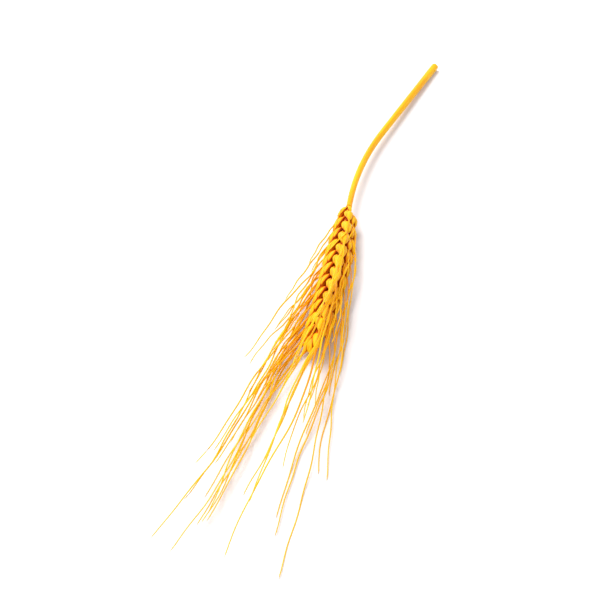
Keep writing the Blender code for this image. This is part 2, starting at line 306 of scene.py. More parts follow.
GLUME = Seat("glume", Size(9.2, 3.6, 1.4, 0.9, 0.5), 0.7, -0.9, 16, 58)
LEMMA = Seat("lemma", Size(10.8, 4.2, 2.0, 1.4, 0.8), 0.7, 0.2, 11, 34)
MIDDLE_LEMMA = Seat("middle", Size(9.0, 3.6, 1.8, 1.3, 0.7), 0, 2.6, 0, 0)
SPREAD_PLAY = radians(2.5)
AWN_LENGTH = 97 * MM
AWN_LOWEST_SHARE = 0.34
AWN_GROWTH = 2.2
AWN_LENGTH_PLAY = 0.08
MIDDLE_AWN_SHARE = 0.6
MIDDLE_AWN_LENGTH = (0.43, 0.79)
MIDDLE_AWN_GIRTH = 0.85
SEED = 12


def awn_length(share):
    """Awns are short at the ear's foot and longest at its tip."""
    return AWN_LENGTH * (1 - (1 - AWN_LOWEST_SHARE) * (1 - share) ** AWN_GROWTH)


def plan_spikelet(frame, share, tilt, draw):
    """The husks and awns of one spikelet."""
    factor = spikelet_size(share)
    husks, awns = [], []
    centre = Frame(frame.point - frame.outward * SPIKELET_LIFT, *frame[1:])
    for side in (-1, 1):
        play = SPREAD_PLAY * draw.uniform(-1, 1)
        husks += [seat_husk(frame, seat, side, tilt, factor, play) for seat in (GLUME, LEMMA)]
        length = awn_length(share) * (1 + AWN_LENGTH_PLAY * draw.uniform(-1, 1))
        awns.append(awn_route(husks[-1], length, 1, centre, draw))
    play = SPREAD_PLAY * draw.uniform(-1, 1)
    husks.append(seat_husk(frame, MIDDLE_LEMMA, 1, tilt, factor, play))
    if draw.random() < MIDDLE_AWN_SHARE:
        length = awn_length(share) * draw.uniform(*MIDDLE_AWN_LENGTH)
        awns.append(awn_route(husks[-1], length, MIDDLE_AWN_GIRTH, centre, draw))
    return husks, awns


def spikelet_frame(number):
    """Where a spikelet stands, and which way it faces. The last one is turned sideways."""
    frame = ear_frame(FIRST_SPIKELET + number * INTERNODE)
    if number == SPIKELETS:
        return Frame(frame.point, frame.along, frame.across, frame.outward)
    rank = 1 if number % 2 else -1
    point = frame.point + frame.outward * rank * SPIKELET_LIFT
    return Frame(point, frame.along, frame.outward * rank, frame.across)


def plan_ear():
    draw = random.Random(SEED)
    husks, awns = [], []
    for number in range(SPIKELETS + 1):
        tilt = 0 if number == SPIKELETS else SPIKELET_TILT
        more = plan_spikelet(spikelet_frame(number), number / SPIKELETS, tilt, draw)
        husks += more[0]
        awns += more[1]
    return husks, awns


husks, awns = plan_ear()
print(len(husks), "husks and", len(awns), "awns planned")

# %% [markdown]
# ## Collecting a piece from many small skins
#
# The ear has over a hundred husks, and an object for each would be slow. So all husks of one
# kind go into one mesh: a list of points and faces that grows ring by ring. Every face corner
# gets a place on a map called grain, round the husk and along it, which the materials use to
# run fibres lengthwise. A second map gives each husk a cell of its own, so that baked colours
# don't print over each other.

# %% Write the collector
import bmesh
import numpy as np


class Skin:
    """Points and faces of one piece, with what the materials need to know of them."""

    def __init__(self):
        self.points, self.faces, self.grain = [], [], []
        self.along, self.tone, self.tube_of = [], [], []
        self.tubes = 0

    def add_points(self, points, along, tone):
        first = len(self.points)
        self.points += points
        self.along += [along] * len(points)
        self.tone += [tone] * len(points)
        return first

    def add_face(self, corners, grain):
        self.faces.append(corners)
        self.grain += grain
        self.tube_of += [self.tubes] * len(corners)

    def join_rings(self, first, second, sides, low, high):
        """A band of faces between two rings of points."""
        for side in range(sides):
            beside = (side + 1) % sides
            left, right = side / sides, (side + 1) / sides
            corners = (first + side, first + beside, second + beside, second + side)
            self.add_face(corners, [(left, low), (right, low), (right, high), (left, high)])

    def close_ring(self, ring, tip, sides, low, high):
        """A fan of faces from a ring of points to one tip."""
        for side in range(sides):
            left, right = side / sides, (side + 1) / sides
            corners = (ring + side, ring + (side + 1) % sides, tip)
            self.add_face(corners, [(left, low), (right, low), ((left + right) / 2, high)])

    def add_tube(self, rings, spans, tone, start, end):
        """A closed skin through rings of points, from a start point to an end point."""
        sides, count = len(rings[0]), len(rings)
        firsts = [self.add_points(ring, span, tone) for ring, span in zip(rings, spans)]
        heights = [(number + 1) / (count + 1) for number in range(count)]
        for number in range(count - 1):
            self.join_rings(*firsts[number:number + 2], sides, *heights[number:number + 2])
        for point, at, height in ((start, 0, 0), (end, -1, 1)):
            tip = self.add_points([point], spans[at], tone)
            self.close_ring(firsts[at], tip, sides, heights[at], height)
        self.tubes += 1


print("a skin collects", ", ".join(vars(Skin())))

# %% Give each tube of a skin a cell of its own on the bake map
BAKE_MAP = "OFBake"
CELL_EDGE = 0.06


def place_in_cells(skin, slender):
    """Each face corner's place on the bake map. slender is how long a tube is for its girth."""
    columns = ceil(sqrt(skin.tubes * slender))
    rows = ceil(skin.tubes / columns)
    tube = np.array(skin.tube_of)
    cells = np.stack([tube % columns, tube // columns], 1)
    return (cells + CELL_EDGE + np.array(skin.grain) * (1 - 2 * CELL_EDGE)) / (columns, rows)


def add_map(mesh, name, places):
    mesh.uv_layers.new(name=name).uv.foreach_set("vector", np.ravel(places).astype(np.float32))


print("bake map", BAKE_MAP, "keeps", CELL_EDGE, "of a cell clear at each edge")


# %% Turn a collected skin into a piece that rides on the packed body
def store_values(mesh, name, values):
    """One number for each point, which materials read by its name."""
    mesh.attributes.new(name, "FLOAT", "POINT").data.foreach_set("value", values)


def make_piece(name, skin, node, slender=1):
    """One smooth mesh object that stands for its solid, which it hides."""
    mesh = bpy.data.meshes.new(name)
    mesh.from_pydata(skin.points, [], skin.faces)
    add_map(mesh, "grain", skin.grain)
    add_map(mesh, BAKE_MAP, place_in_cells(skin, slender))
    store_values(mesh, "along", skin.along)
    store_values(mesh, "tone", skin.tone)
    shape = bmesh.new()
    shape.from_mesh(mesh)
    bmesh.ops.recalc_face_normals(shape, faces=shape.faces)
    shape.to_mesh(mesh)
    shape.free()
    mesh.shade_smooth()
    piece = place_in_scene(name, mesh)
    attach(piece, "root")
    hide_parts(node)
    print(f"{name}: {len(mesh.polygons)} faces")
    return piece


# %% [markdown]
# ## The shape of a husk
#
# A husk is a thin boat. Its back is plump and rounded, widest below its middle, and it
# narrows quickly to its tip. Fine nerves run along it as raised lines, and drying leaves
# shallow dents. Copies of one sculpted husk would all be alike. Instead one formula gives
# every point of a husk's skin, and each husk feeds it its own size and its own dents.

# %% Describe the outline, the nerves and the dents of each kind of husk
Form = namedtuple("Form", "rise fall plump keel nerves wall bow_ends")
FORMS = {
    "lemma": Form(0.42, 0.66, 0.9, 0.12 * MM, 0.07 * MM, 0.22 * MM, 0.64),
    "middle": Form(0.42, 0.66, 0.9, 0.10 * MM, 0.06 * MM, 0.2 * MM, 0.64),
    "glume": Form(0.4, 0.52, 0.95, 0.34 * MM, 0.07 * MM, 0.2 * MM, 0.1),
    "palea": Form(0.45, 0.6, 1.0, 0, 0.05 * MM, 0, 0.2),
}
NERVE_ANGLES = [radians(angle) for angle in (22, 50, 130, 158)]
NERVE_SPREAD = radians(6)
KEEL_ANGLE = radians(90)
KEEL_SPREAD = radians(9)
NERVES_RISE, NERVES_FALL = (0.02, 0.2), (0.86, 0.98)
DENT_DEPTH = 0.16 * MM
DENT_SCALE = 420
DENTS_RISE = (0.05, 0.3)
LEAST_REACH = 0.3 * MM
LEAST_GROWTH = 0.1


def girth(form, share):
    """How wide a husk is at a share of its length, against its widest place."""
    peak = form.rise / (form.rise + form.fall)
    widest = peak**form.rise * (1 - peak) ** form.fall
    return share**form.rise * (1 - share) ** form.fall / widest


def ridge(angle, middle, spread):
    return exp(-(((angle - middle) / spread) ** 2))


def fade_in(share, start, end):
    """0 before start, 1 after end, smooth between."""
    part = min(max((share - start) / (end - start), 0), 1)
    return part * part * (3 - 2 * part)


def bow_at(form, share):
    """The bow of a husk's middle line, which ends in line with its awn."""
    if share < 0.5:
        return 4 * share * (1 - share)
    return 1 - (1 - form.bow_ends) * fade_in(share, 0.5, 1)


def on_middle(husk, share):
    """A point of a husk's middle line."""
    bow = husk.size.bow * bow_at(FORMS[husk.kind], share)
    return husk.frame @ Vector((0, bow, husk.size.length * share))


def skin_point(husk, share, angle, inset=0, lowest=0):
    """A point of a husk's skin, with nerves, keel and dents, no lower than lowest."""
    form = FORMS[husk.kind]
    across, outward = cos(angle), sin(angle)
    across = copysign(abs(across) ** form.plump, across)
    outward = copysign(abs(outward) ** form.plump, outward)
    depth = husk.size.outer if outward > 0 else husk.size.inner
    wide = girth(form, share)
    x, y = husk.size.width / 2 * wide * across, depth * wide * outward
    fade = fade_in(share, *NERVES_RISE) * (1 - fade_in(share, *NERVES_FALL))
    raised = form.keel * ridge(angle, KEEL_ANGLE, KEEL_SPREAD)
    raised += form.nerves * sum(ridge(angle, nerve, NERVE_SPREAD) for nerve in NERVE_ANGLES)
    reach = max(hypot(x, y), LEAST_REACH)
    bow = husk.size.bow * bow_at(form, share)
    place = husk.frame @ Vector((x, y + bow, husk.size.length * share))
    dent = DENT_DEPTH * noise.noise(place * DENT_SCALE) * fade_in(share, *DENTS_RISE)
    grown = max(1 + (raised * fade + dent * wide - inset) / reach, LEAST_GROWTH)
    place = husk.frame @ Vector((x * grown, y * grown + bow, husk.size.length * share))
    place.z = max(place.z, lowest)
    return place


print("a lemma's girth", [round(girth(FORMS["lemma"], s / 10), 2) for s in range(1, 10)])

# %% [markdown]
# ## Floret husks (lemmas)
#
# The lemma gives the ear its look: a thin shell round the grain, open on its inner side,
# with its edges curled in. A closed balloon would look solid where the husk's lip shows, so
# each ring here goes across the back and returns a wall's thickness further in.

# %% Make the lemmas as thin shells
BACK_FROM, BACK_TO = radians(-28), radians(208)
BACK_COLUMNS = 31
INNER_COLUMNS = 8
HUSK_ROWS = 26
END_STEP = 0.6


def spread_evenly(low, high, count):
    return [low + (high - low) * number / (count - 1) for number in range(count)]


def husk_shares(rows):
    """Rows along a husk, closest together at its two ends."""
    steps = rows - 1 + 2 * END_STEP
    return [(1 - cos(pi * (row + END_STEP) / steps)) / 2 for row in range(rows)]


def add_shell(skin, husk, tone):
    """A boat-like shell, with its rings' seam on its hidden inner side."""
    back = spread_evenly(BACK_FROM, BACK_TO, BACK_COLUMNS)
    inside = spread_evenly(BACK_TO, BACK_FROM, INNER_COLUMNS)
    shares = husk_shares(HUSK_ROWS)
    wall = FORMS[husk.kind].wall
    rings = []
    for share in shares:
        ring = [skin_point(husk, share, angle) for angle in back]
        ring += [skin_point(husk, share, angle, wall, wall) for angle in inside]
        rings.append(ring)
    skin.add_tube(rings, shares, tone, on_middle(husk, 0), on_middle(husk, 1))


extra = random.Random(SEED + 1)
tones = [extra.random() for _ in husks]


def make_shells(name, kind):
    skin = Skin()
    for husk, tone in zip(husks, tones):
        if husk.kind == kind:
            add_shell(skin, husk, tone)
    return make_piece(name, skin, "ear")


lemmas = make_shells("lemmas", "lemma")
middle_lemmas = make_shells("middle_lemmas", "middle")

# %% [markdown]
# ## Outer husks (glumes)
#
# The two glumes clasp the spikelet from its sides. They are stiffer and flatter than the
# lemmas, with a sharp keel that runs out into a short beak. The shell is made as before,
# with a higher keel, and a small spike is added for the beak.

# %% Make the glumes and their beaks
BEAK_LENGTH = 1.3 * MM
BEAK_RADIUS = 0.2 * MM
BEAK_SIDES = 6
BEAK_STARTS = 0.93
BEAK_RISE = 0.12 * BEAK_LENGTH
BEAK_TAPER = ((0, 1), (0.5, 0.62), (0.9, 0.2))
STERILE_TONE = 0.5
STERILE_PLACE = 0.5 * MM
STERILE_HUSK = Seat("glume", Size(4.6, 2.2, 0.7, 0.6, 0.2), 0.5, 0, 0, 0)


def ring_round(point, along, across, wide, deep, sides):
    """Points of an ellipse round a line, across and through."""
    across = (across - along * across.dot(along)).normalized()
    through = along.cross(across)
    angles = [tau * side / sides for side in range(sides)]
    return [point + across * wide * cos(a) + through * deep * sin(a) for a in angles]


def spike_rings(start, step, across, radius, taper, sides):
    """Round rings along a straight step from start, each as wide as the taper says."""
    along = step.normalized()
    return [
        ring_round(start + step * share, along, across, radius * wide, radius * wide, sides)
        for share, wide in taper
    ]


def add_beak(skin, husk, tone):
    """A short straight spike that the keel runs out into."""
    turned = husk.frame.to_3x3()
    start = on_middle(husk, BEAK_STARTS)
    step = Vector((0, BEAK_RISE, husk.size.length * (1 - BEAK_STARTS) + BEAK_LENGTH))
    step, across = turned @ step, turned @ Vector((1, 0, 0))
    rings = spike_rings(start, step, across, BEAK_RADIUS, BEAK_TAPER, BEAK_SIDES)
    skin.add_tube(rings, [1] * len(rings), tone, start, start + step)


def plan_sterile_husks():
    """The two small husks at the ear's foot, which hold no grain."""
    point, along, outward, across = ear_frame(STERILE_PLACE)
    return [
        seat_husk(Frame(point, along, outward * side, across), STERILE_HUSK, side, SPIKELET_TILT)
        for side in (-1, 1)
    ]


def make_glumes():
    skin = Skin()
    for husk, tone in zip(husks, tones):
        if husk.kind == "glume":
            add_shell(skin, husk, tone)
            add_beak(skin, husk, tone)
    for husk in plan_sterile_husks():
        add_shell(skin, husk, STERILE_TONE)
    return make_piece("glumes", skin, "ear")


glumes = make_glumes()

# %% [markdown]
# ## Inner husks (paleas)
#
# Each floret is closed on its inner side by the palea, a thinner husk that the lemma's
# edges wrap round. It shows as a second lip at the floret's tip. It is narrower and a
# little shorter than its lemma, so a closed skin inside the shell is enough.

# %% Fill each floret with its palea
PALEA_SHARES = Size(0.95, 0.86, 0.5, 1, 1)
PALEA_LOWEST = 0.5 * MM
PALEA_COLUMNS = 14
PALEA_ROWS = 14


def make_paleas():
    skin = Skin()
    shares = husk_shares(PALEA_ROWS)
    angles = [tau * column / PALEA_COLUMNS - pi / 2 for column in range(PALEA_COLUMNS)]
    for husk, tone in zip(husks, tones):
        if husk.kind == "glume":
            continue
        size = Size(*(whole * share for whole, share in zip(husk.size, PALEA_SHARES)))
        palea = Husk("palea", husk.frame, size)
        rings = [
            [skin_point(palea, share, angle, lowest=PALEA_LOWEST) for angle in angles]
            for share in shares
        ]
        skin.add_tube(rings, shares, tone, on_middle(palea, 0), on_middle(palea, 1))
    return make_piece("paleas", skin, "ear")


paleas = make_paleas()

# %% [markdown]
# ## The ear's own axis (rachis)
#
# Behind the husks runs a flattened zigzag stalk. It is thick here, as in the solid, because
# the grain of a real ear is not modelled, and one must not see through the ear. At the ear's
# foot, where it shows, it has the small collar from which the lowest husks grow.

# %% Draw the rachis through its zigzag
RACHIS_RADIUS = 1.2 * MM
RACHIS_CORE_RADIUS = 2.3 * MM
RACHIS_TIP_RADIUS = 1.0 * MM
RACHIS_ZIGZAG = 0.45 * MM
RACHIS_FLATTENING = 0.9
RACHIS_SIDES = 20
RACHIS_STEPS_BETWEEN = 6
CORE_STARTS = 3
COLLAR_PLACE = 0.6 * MM
COLLAR_SPREAD = 0.45 * MM
COLLAR_HEIGHT = 0.22 * MM


def rachis_stations():
    """The zigzag's corners, as (distance, point, radius)."""
    stations = [(0, ear_frame(0).point, RACHIS_RADIUS)]
    for number in range(SPIKELETS + 1):
        distance = FIRST_SPIKELET + number * INTERNODE
        frame = ear_frame(distance)
        rank = 1 if number % 2 else -1
        share = number / SPIKELETS
        core = RACHIS_CORE_RADIUS + (RACHIS_TIP_RADIUS - RACHIS_CORE_RADIUS) * share
        radius = RACHIS_RADIUS + (core - RACHIS_RADIUS) * min(number / CORE_STARTS, 1)
        stations.append((distance, frame.point + frame.outward * rank * RACHIS_ZIGZAG, radius))
    return stations


def make_rachis():
    skin = Skin()
    rings, spans = [], []
    stations = rachis_stations()
    for (start, point, radius), (end, next_point, next_radius) in zip(stations, stations[1:]):
        for step in range(RACHIS_STEPS_BETWEEN):
            part = step / RACHIS_STEPS_BETWEEN
            distance = start + (end - start) * part
            frame = ear_frame(distance)
            thick = radius + (next_radius - radius) * part
            thick += COLLAR_HEIGHT * ridge(distance, COLLAR_PLACE, COLLAR_SPREAD)
            middle = point.lerp(next_point, fade_in(part, 0, 1))
            rings.append(ring_round(
                middle, frame.along, frame.outward, thick, thick * RACHIS_FLATTENING, RACHIS_SIDES,
            ))
            spans.append(distance / EAR_LENGTH)
    skin.add_tube(rings, spans, STERILE_TONE, stations[0][1], stations[-1][1])
    return make_piece("rachis", skin, "ear")


rachis = make_rachis()

# %% [markdown]
# ## Awns
#
# An awn is flat where it leaves its husk and fine as a hair at its tip. A bevelled curve
# would draw round wires. Rings of points along the planned curve give a flattened section
# and a natural taper.

# %% Sweep the awns
AWN_STEP = 1.9 * MM
AWN_SIDES = 6
AWN_ROOT_WIDTH = 0.64 * MM
AWN_WIDTH = 0.4 * MM
AWN_END_WIDTH = 0.17 * MM
AWN_FLATNESS = 0.68
AWN_TAPER = 0.75
AWN_ROOT_SHARE = 0.08
AWN_STARTS = 0.6 * MM
AWN_SLENDER = 30
AWN_LOOK = 0.01


def awn_width(awn, share):
    """Half an awn's width: a flat root, then a long taper."""
    width = AWN_END_WIDTH + (AWN_WIDTH - AWN_END_WIDTH) * (1 - share) ** AWN_TAPER
    width += (AWN_ROOT_WIDTH - AWN_WIDTH) * (1 - fade_in(share, 0, AWN_ROOT_SHARE))
    return width * awn.girth


def awn_line(awn, share):
    """A point of an awn, the direction there, and its flat side's direction."""
    ahead = awn_point(awn, min(share + AWN_LOOK, 1))
    behind = awn_point(awn, max(share - AWN_LOOK, 0))
    along = (ahead - behind).normalized()
    across = awn.husk.frame.to_3x3() @ Vector((1, 0, 0))
    level = Vector((0, 0, 1)).cross(along)
    across = across.lerp(level if across.dot(level) > 0 else -level, share)
    return awn_point(awn, share), along, across


def make_awns():
    skin = Skin()
    for awn in awns:
        steps, start = round(awn.length / AWN_STEP), AWN_STARTS / awn.length
        shares = [start + (1 - start) * step / steps for step in range(steps)]
        rings = []
        for share in shares:
            point, along, across = awn_line(awn, share)
            wide = awn_width(awn, share)
            rings.append(ring_round(point, along, across, wide, wide * AWN_FLATNESS, AWN_SIDES))
        tone = extra.random()
        skin.add_tube(rings, shares, tone, awn_point(awn, start), awn_point(awn, 1))
    return make_piece("awns", skin, "ear", AWN_SLENDER)


awn_bristles = make_awns()

# %% [markdown]
# ## Barbs and hairs
#
# Run a finger down a real awn and it catches: both its edges carry tiny teeth that point
# to the tip. The husks' keels and the foot of each spikelet are hairy as well. Both are too
# small to make one by one, so the script strews simple spikes along edges that it knows.

# %% Set teeth along both edges of each awn
BARB_SPACING = 1.5 * MM
BARB_LENGTH = 0.5 * MM
BARB_LEAN = 0.42
BARB_RADIUS = 0.055 * MM
BARB_PLAY = (0.7, 1.2)
BARB_INSET = 0.8
BARBS_START, BARBS_END = 0.08, 0.995
SPIKE_SIDES = 3


def make_barbs():
    skin = Skin()
    for awn in awns:
        count = round(awn.length * (1 - BARBS_START) / BARB_SPACING)
        for number in range(count):
            share = BARBS_START + (1 - BARBS_START) * (number + extra.random()) / count
            point, along, across = awn_line(awn, min(share, BARBS_END))
            side = (across - along * across.dot(along)).normalized() * (-1) ** number
            start = point + side * awn_width(awn, share) * BARB_INSET
            end = start + (along + side * BARB_LEAN) * BARB_LENGTH * extra.uniform(*BARB_PLAY)
            ring = ring_round(start, along, side, BARB_RADIUS, BARB_RADIUS, SPIKE_SIDES)
            skin.add_tube([ring], [share], STERILE_TONE, start, end)
    return make_piece("awn_barbs", skin, "ear")


awn_barbs = make_barbs()

# %% Grow hairs on the keels and at the foot of each spikelet
KEEL_HAIRS = 9
KEEL_HAIR_LENGTH = (0.5 * MM, 1.0 * MM)
KEEL_HAIRY = (0.35, 0.97)
KEEL_HAIR_SPREAD = 0.12
KEEL_HAIR_LEANS = ((-0.4, 0.4), (0.2, 0.6))
TUFT_HAIRS = 14
TUFT_HAIR_LENGTH = (1.2 * MM, 2.4 * MM)
TUFT_SPREAD = 1.5 * MM
TUFT_HEIGHT = (0.6 * MM, 1.6 * MM)
TUFT_LEAN = 0.7
TUFT_RISE = (0.3, 0.9)
HAIR_RADIUS = 0.032 * MM
HAIR_DROOP = 0.12
HAIR_TAPER = ((0, 1), (0.5, 0.7))


def add_hair(skin, start, direction, length):
    end = start + direction * length + Vector((0, 0, -HAIR_DROOP * length))
    if end.z < HAIR_RADIUS:
        return
    step, across = direction * length, direction.orthogonal()
    rings = spike_rings(start, step, across, HAIR_RADIUS, HAIR_TAPER, SPIKE_SIDES)
    skin.add_tube(rings, [share for share, _ in HAIR_TAPER], extra.random(), start, end)


def make_hairs():
    skin = Skin()
    for husk in husks:
        turned = husk.frame.to_3x3()
        for _ in range(KEEL_HAIRS):
            share = extra.uniform(*KEEL_HAIRY)
            angle = KEEL_ANGLE + extra.gauss(0, KEEL_HAIR_SPREAD)
            start = skin_point(husk, share, angle)
            lean = Vector((*(extra.uniform(*leans) for leans in KEEL_HAIR_LEANS), 1))
            add_hair(skin, start, (turned @ lean).normalized(), extra.uniform(*KEEL_HAIR_LENGTH))
    for number in range(SPIKELETS + 1):
        frame = spikelet_frame(number)
        for _ in range(TUFT_HAIRS):
            side = extra.uniform(-1, 1)
            start = frame.point + frame.across * side * TUFT_SPREAD
            start += frame.outward * extra.uniform(*TUFT_HEIGHT)
            lean = frame.along + frame.across * side * TUFT_LEAN
            lean += frame.outward * extra.uniform(*TUFT_RISE)
            add_hair(skin, start, lean.normalized(), extra.uniform(*TUFT_HAIR_LENGTH))
    return make_piece("husk_hairs", skin, "ear")


husk_hairs = make_hairs()

# %% [markdown]
# ## Stem
#
# The straw is a round stalk with fine ribs, and drying has drawn shallow furrows into it. It
# runs on across the small gap between the two solids into the ear's collar, because the real
# one grew as one piece with it. Ribs this fine could be left to a bump, but as mesh they also
# show in the straw's outline and at its cut end.

# %% Sweep the stem with ribs and furrows
STEM_ROWS = 150
STEM_RIBS = 26
STEM_COLUMNS = STEM_RIBS * 6
RIB_HEIGHT = 0.035 * MM
FURROWS = ((0.9, 0.28, 0.1 * MM), (3.6, 0.4, 0.07 * MM))
STEM_DENT = 0.05 * MM
STEM_DENT_SCALE = Vector((60, 260, 260))
STEM_WALL = 0.55 * MM
STEM_TONE = 0.4
STEM_INTO_EAR = 0.4 * MM
PITH_DEPTH = 0.5 * MM
CUT_RAGGED = 0.12 * MM
CUT_RAGGED_SCALE = 3


def stem_radius(distance):
    share = min(distance / STEM_LENGTH, 1)
    return STEM_END_RADIUS + (STEM_NECK_RADIUS - STEM_END_RADIUS) * share


def stem_ring(distance, radius, ribs=1, ragged=0):
    """One ring of the straw. ribs fades the ribs, and ragged roughens a cut edge."""
    near = min(distance, STEM_LENGTH)
    along = (stem_point(near) - stem_point(near - MM)).normalized()
    point = stem_point(near) + along * (distance - near)
    across = Vector((0, 0, 1)).cross(along).normalized()
    through = along.cross(across)
    ring = []
    for column in range(STEM_COLUMNS):
        angle = tau * column / STEM_COLUMNS
        out = across * cos(angle) + through * sin(angle)
        far = radius + RIB_HEIGHT * cos(STEM_RIBS * angle) * ribs
        far -= sum(depth * ridge(angle, at, wide) for at, wide, depth in FURROWS) * ribs
        far += STEM_DENT * noise.noise((point + out * radius) * STEM_DENT_SCALE) * ribs
        place = point + out * far + along * ragged * noise.noise(out * CUT_RAGGED_SCALE)
        place.z = max(place.z, 0)
        ring.append(place)
    return ring


def make_stem():
    skin = Skin()
    distances = spread_evenly(0, STEM_LENGTH + STEM_GAP, STEM_ROWS)
    bore = STEM_END_RADIUS - STEM_WALL
    rings = [stem_ring(PITH_DEPTH, bore, 0), stem_ring(0, bore, 0, CUT_RAGGED)]
    rings += [stem_ring(0, STEM_END_RADIUS, 1, CUT_RAGGED)]
    rings += [stem_ring(distance, stem_radius(distance)) for distance in distances[1:]]
    spans = [-1, -1] + [distance / STEM_LENGTH for distance in distances]
    start, end = stem_point(PITH_DEPTH), ear_frame(STEM_INTO_EAR).point
    skin.add_tube(rings, spans, STEM_TONE, start, end)
    return make_piece("stem_straw", skin, "stem")


stem_straw = make_stem()

# %% [markdown]
# ## Painted shade in the creases
#
# The ears were dyed whole, and their round backs are lemon to golden yellow. The creases
# where husks meet are painted deep orange as shade. Painting that by hand would take days.
# Instead the script measures, at each point of the mesh, how much of its surroundings is
# blocked by other husks, and stores that share as a mesh attribute for the painted shade.

# %% Measure how deep in a crease each point lies, for the painted shade
from mathutils.bvhtree import BVHTree

CREASE_RAYS = 10
CREASE_REACH = 3.2 * MM
CREASE_START = 0.05 * MM
GOLDEN_TURN = pi * (3 - sqrt(5))


def ray_fan(count):
    """Directions spread over the half sphere above a surface, as (side, other side, out)."""
    fan = []
    for number in range(count):
        out = sqrt(1 - (number + 0.5) / count)
        level = sqrt(1 - out * out)
        turn = number * GOLDEN_TURN
        fan.append((level * cos(turn), level * sin(turn), out))
    return fan


def tree_of(pieces):
    points, faces = [], []
    for piece in pieces:
        first = len(points)
        points += [vertex.co.copy() for vertex in piece.data.vertices]
        faces += [[first + corner for corner in face.vertices] for face in piece.data.polygons]
    return BVHTree.FromPolygons(points, faces)


def smoothed(mesh, values):
    """Each value averaged with those at the other ends of its edges."""
    ends = np.empty(len(mesh.edges) * 2, int)
    mesh.edges.foreach_get("vertices", ends)
    ends = ends.reshape(-1, 2)
    total, count = values.copy(), np.ones(len(values))
    for here, there in ((0, 1), (1, 0)):
        np.add.at(total, ends[:, here], values[ends[:, there]])
        np.add.at(count, ends[:, here], 1)
    return total / count


def store_crease_shade(piece, tree, fan):
    mesh = piece.data
    blocked = np.zeros(len(mesh.vertices))
    for vertex in mesh.vertices:
        out = vertex.normal
        side = out.orthogonal().normalized()
        other = out.cross(side)
        start = vertex.co + out * CREASE_START
        for a, b, c in fan:
            if tree.ray_cast(start, side * a + other * b + out * c, CREASE_REACH)[0]:
                blocked[vertex.index] += 1
    # The blocked share is painted shade: the materials turn the creases orange and red-brown by
    # it.
    blocked = smoothed(mesh, smoothed(mesh, blocked / len(fan)))
    store_values(mesh, "crease_shade", blocked)
    print(f"{piece.name}: mean crease {blocked.mean():.2f}")


husk_pieces = (lemmas, middle_lemmas, glumes, paleas, rachis)
husk_tree = tree_of(husk_pieces)
for piece in husk_pieces:
    store_crease_shade(piece, husk_tree, ray_fan(CREASE_RAYS))

# %% [markdown]
# ## Shader groups that several materials share
#
# Every dry plant surface here has lengthwise fibres and dye that has taken unevenly. Each is
# built once as a node group with named inputs and outputs. The fibres are a noise stretched
# along the grain map, wrapped round a circle so that it has no seam. The dye group starts from
# the crease attribute, which is painted shade, and adds a soft mottling and a tone for each husk.

# %% Build the helpers for node trees
def feed(tree, node, links):
    """Put sockets or plain values into a node's inputs."""
    for place, source in dict(links).items():
        if isinstance(source, bpy.types.NodeSocket):
            tree.links.new(source, node.inputs[place])
        else:
            node.inputs[place].default_value = source


def add_node(tree, kind, links=(), **settings):
    node = tree.nodes.new("ShaderNode" + kind)
    for name, value in settings.items():
        setattr(node, name, value)
    feed(tree, node, links)
    return node


def calc(tree, first, second, operation="ADD"):
    return add_node(tree, "Math", {0: first, 1: second}, operation=operation).outputs[0]


def attribute(tree, name):
    return add_node(tree, "Attribute", attribute_name=name).outputs["Fac"]


def new_group(name, inputs, outputs):
    """An empty node group, with the sockets that bring its inputs and take its outputs."""
    tree = bpy.data.node_groups.new(name, "ShaderNodeTree")
    for way, labels in (("INPUT", inputs), ("OUTPUT", outputs)):
        for label in labels:
            tree.interface.new_socket(label, in_out=way, socket_type="NodeSocketFloat")
    return tree, tree.nodes.new("NodeGroupInput").outputs, tree.nodes.new("NodeGroupOutput")


print("node helpers ready")

# %% Group 1: fibres that run lengthwise
TONE_JUMP = 60
STREAKS_FROM, STREAKS_TO = 0.35, 0.65


def build_fibres():
    tree, given, result = new_group(
        "lengthwise fibres", ("Across", "Along", "Fineness"), ("Streaks", "Height")
    )
    grain = add_node(tree, "UVMap", uv_map="grain").outputs["UV"]
    place = add_node(tree, "SeparateXYZ", {0: grain}).outputs
    turn = calc(tree, place["X"], tau, "MULTIPLY")
    x = calc(tree, calc(tree, turn, 0, "COSINE"), given["Across"], "MULTIPLY")
    y = calc(tree, calc(tree, turn, 0, "SINE"), given["Across"], "MULTIPLY")
    z = calc(tree, place["Y"], given["Along"], "MULTIPLY")
    z = calc(tree, z, calc(tree, attribute(tree, "tone"), TONE_JUMP, "MULTIPLY"))
    where = add_node(tree, "CombineXYZ", {0: x, 1: y, 2: z}).outputs[0]
    broad = add_node(tree, "TexNoise", {"Vector": where, "Scale": 1, "Detail": 2}).outputs["Fac"]
    fine = add_node(tree, "TexNoise", {"Vector": where, "Scale": given["Fineness"]}).outputs["Fac"]
    streaks = add_node(tree, "MapRange", {0: broad, 1: STREAKS_FROM, 2: STREAKS_TO}).outputs[0]
    height = calc(tree, broad, calc(tree, fine, 0.5, "MULTIPLY"))
    feed(tree, result, {"Streaks": streaks, "Height": height})
    return tree


lengthwise_fibres = build_fibres()
print("group", lengthwise_fibres.name, "has", len(lengthwise_fibres.nodes), "nodes")
